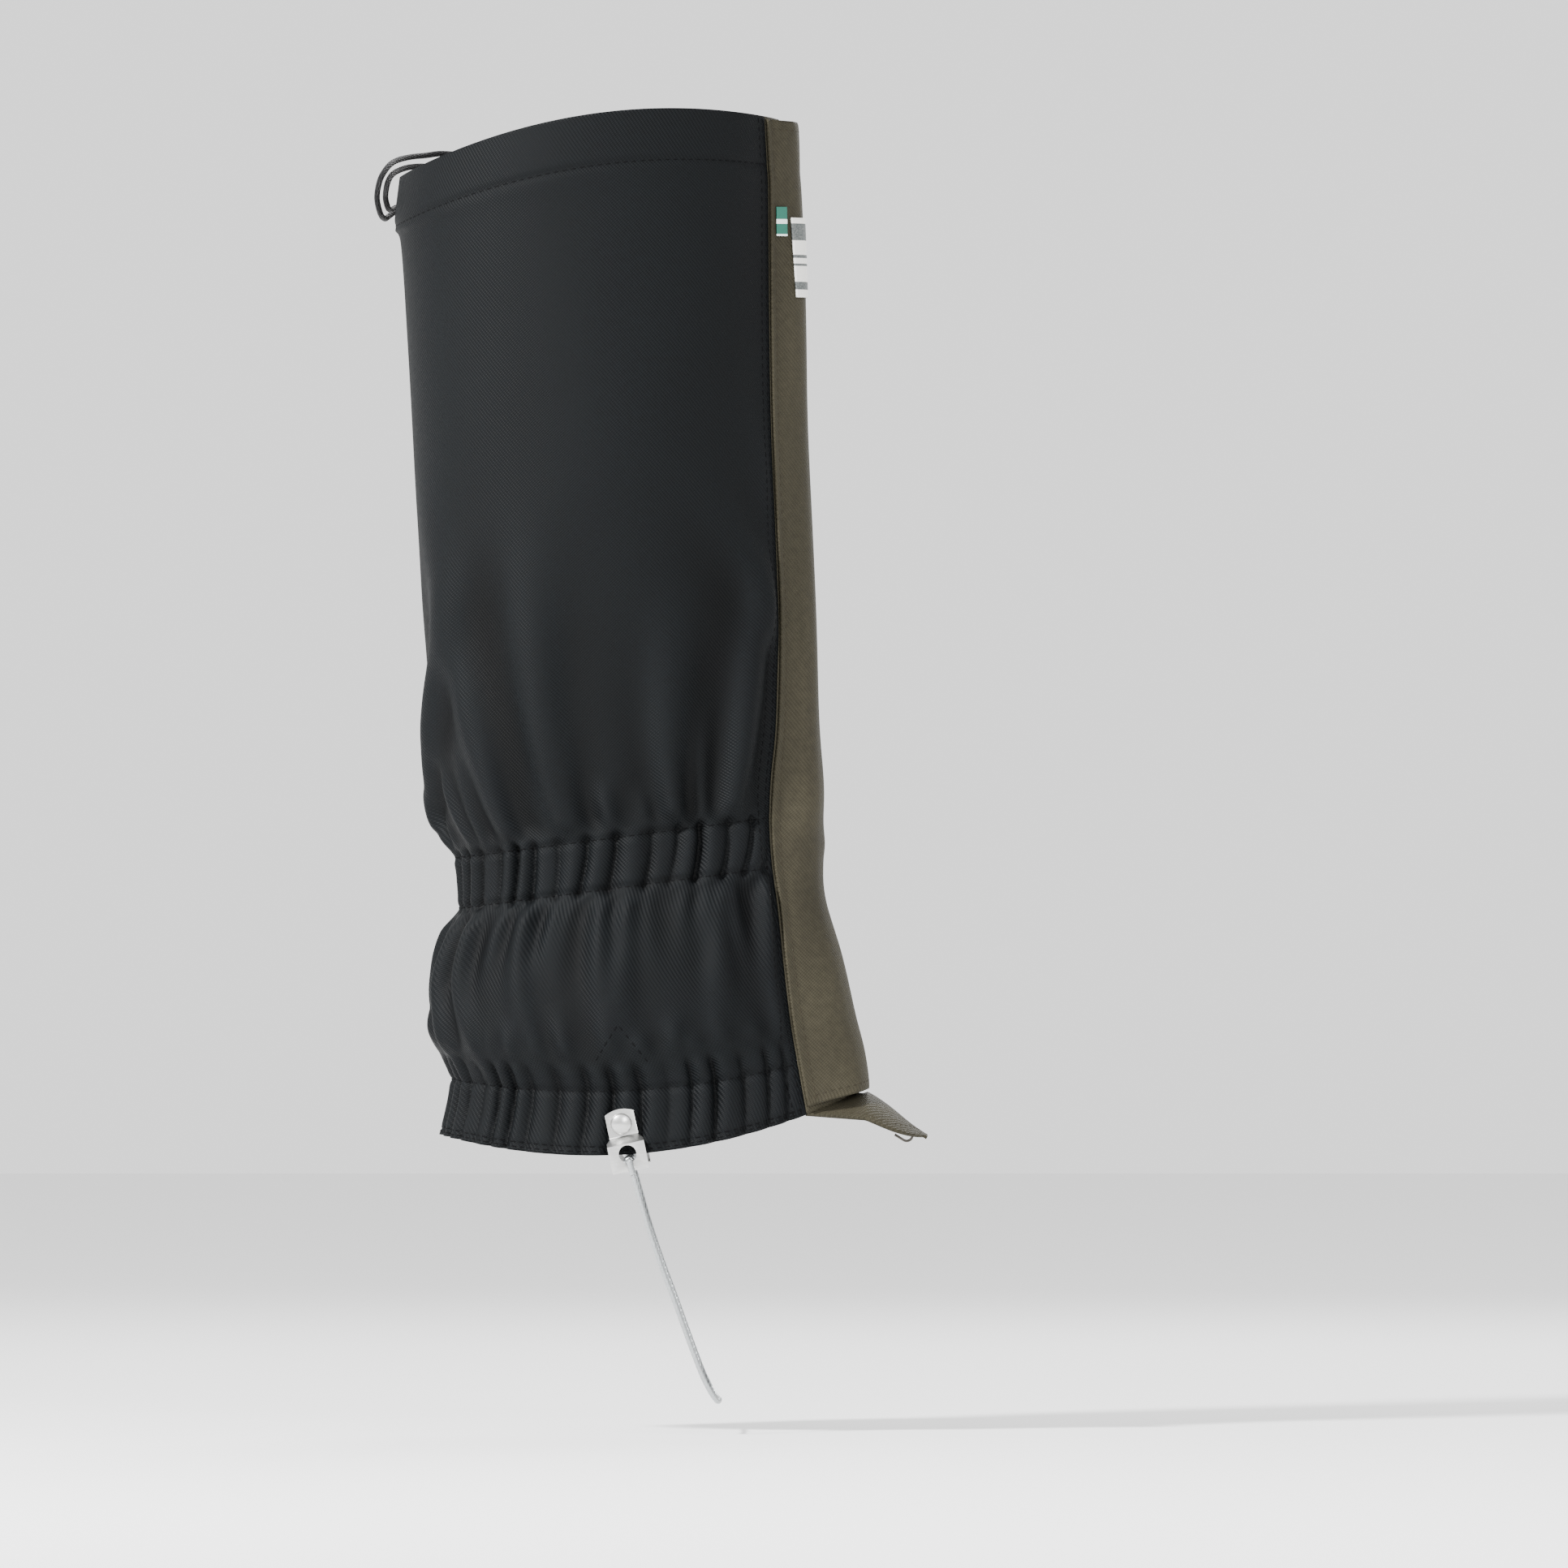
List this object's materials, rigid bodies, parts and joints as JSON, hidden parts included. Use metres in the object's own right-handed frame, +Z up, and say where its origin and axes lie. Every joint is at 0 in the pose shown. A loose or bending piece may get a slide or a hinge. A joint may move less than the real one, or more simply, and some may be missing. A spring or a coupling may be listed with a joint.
{
  "type": "walking gaiter",
  "caption": "Knee-high front-zip walking gaiter with storm flap, elastic ankle and hem, drawcord top, toe tab and steel instep wire.",
  "frame": {"origin": "middle of the bottom opening, level with the boot's collar", "axes": "+Z up the leg, +X towards the toe, -Y the outer side of a right leg"},
  "size_m": [0.2085, 0.1231, 0.4864],
  "materials": {
    "black_twill": "coated black polyester twill, fine diagonal rib, soft sheen",
    "olive_twill": "coated olive polyester twill, fine diagonal rib",
    "black_webbing": "black woven elastic, zip tape and hook and loop tape",
    "black_cord": "black braided shock cord",
    "bright_steel": "bright nickel-plated steel, lightly scuffed",
    "wire_steel": "galvanised steel wire rope",
    "gunmetal": "dark plated steel, satin",
    "black_plastic": "moulded black nylon",
    "green_tag": "woven green tag with a plain pale chevron",
    "white_label": "woven off-white label with plain bars"
  },
  "bodies": {
    "gaiter_shell": {"main_panel": "black_twill", "cord_eyelet_1": "gunmetal", "cord_eyelet_2": "gunmetal", "top_hem_tunnel": "black_twill", "drawcord_in_hem": "black_cord", "drawcord": "black_cord", "ankle_elastic": "black_webbing", "hem_elastic": "black_webbing", "front_panel_lateral": "olive_twill", "front_panel_medial": "olive_twill", "zip_tape_lateral": "black_webbing", "zip_teeth_lateral": "black_plastic", "zip_top_stop_lateral": "gunmetal", "zip_tape_medial": "black_webbing", "zip_teeth_medial": "black_plastic", "zip_top_stop_medial": "gunmetal", "zip_base_box": "gunmetal", "loop_tape_upper": "black_webbing", "loop_tape_lower": "black_webbing", "stud_post": "gunmetal", "reinforcement_lateral": "black_twill", "reinforcement_medial": "black_twill", "rivet_lateral": "bright_steel", "rivet_medial": "bright_steel", "rivet_washer_lateral": "bright_steel", "rivet_washer_medial": "bright_steel", "instep_panel": "olive_twill"},
    "storm_flap": {"storm_flap": "olive_twill", "hook_tape_upper": "black_webbing", "hook_tape_lower": "black_webbing", "front_label": "white_label", "side_tag": "green_tag", "stud_socket": "gunmetal", "stud_cap": "gunmetal"},
    "zip_slider": {"zip_slider": "gunmetal"},
    "zip_pull": {"zip_pull": "gunmetal"},
    "toe_tab": {"toe_tab": "olive_twill", "lace_hook": "gunmetal"},
    "plate_lateral": {"keyhole_plate_lateral": "bright_steel"},
    "plate_medial": {"keyhole_plate_medial": "bright_steel"},
    "instep_wire": {"instep_wire": "wire_steel", "wire_end_lateral": "wire_steel", "wire_end_medial": "wire_steel"},
    "cord_lock": {"cord_lock_barrel": "black_plastic", "cord_lock_spring": "wire_steel"},
    "cord_lock_plunger": {"cord_lock_plunger": "black_plastic"}
  },
  "joints": [
    {"name": "flap_open", "type": "hinge", "parent": "gaiter_shell", "child": "storm_flap", "pos_m": [0.0545, -0.022, 0.382], "axis": [0.0146, -0.024, -0.9996], "range_deg": [0, 140]},
    {"name": "zip_slide", "type": "slide", "parent": "gaiter_shell", "child": "zip_slider", "axis": [0.039, 0, -0.9992], "range_m": [0, 0.235]},
    {"name": "pull_lift", "type": "hinge", "parent": "zip_slider", "child": "zip_pull", "pos_m": [0.06265, 0, 0.36312], "axis": [0, -1, 0], "range_deg": [0, 5]},
    {"name": "tab_lift", "type": "hinge", "parent": "gaiter_shell", "child": "toe_tab", "pos_m": [0.0922, 0, 0.0125], "axis": [0, -1, 0], "range_deg": [0, 55]},
    {"name": "plate_swing_lateral", "type": "hinge", "parent": "gaiter_shell", "child": "plate_lateral", "pos_m": [-0.0006, -0.0473, 0.0034], "axis": [0, 1, 0], "range_deg": [-15, 15]},
    {"name": "plate_swing_medial", "type": "hinge", "parent": "gaiter_shell", "child": "plate_medial", "pos_m": [-0.0006, 0.0473, 0.0034], "axis": [0, 1, 0], "range_deg": [-15, 15]},
    {"name": "wire_swing", "type": "hinge", "parent": "plate_lateral", "child": "instep_wire", "pos_m": [0.00237, 0, -0.01059], "axis": [0, 1, 0], "range_deg": [-20, 20]},
    {"name": "cord_lock_slide", "type": "slide", "parent": "gaiter_shell", "child": "cord_lock", "axis": [0.712, 0.7021, 0], "range_m": [0, 0.006]},
    {"name": "plunger_press", "type": "slide", "parent": "cord_lock", "child": "cord_lock_plunger", "axis": [0, 0, -1], "range_m": [0, 0.004], "stiffness_N_per_m": 400, "springref_m": -0.002, "deforming": ["cord_lock_spring"]}
  ],
  "couplings": [
    {"joint": "plate_swing_medial", "follows": "plate_swing_lateral", "ratio": 1}
  ]
}
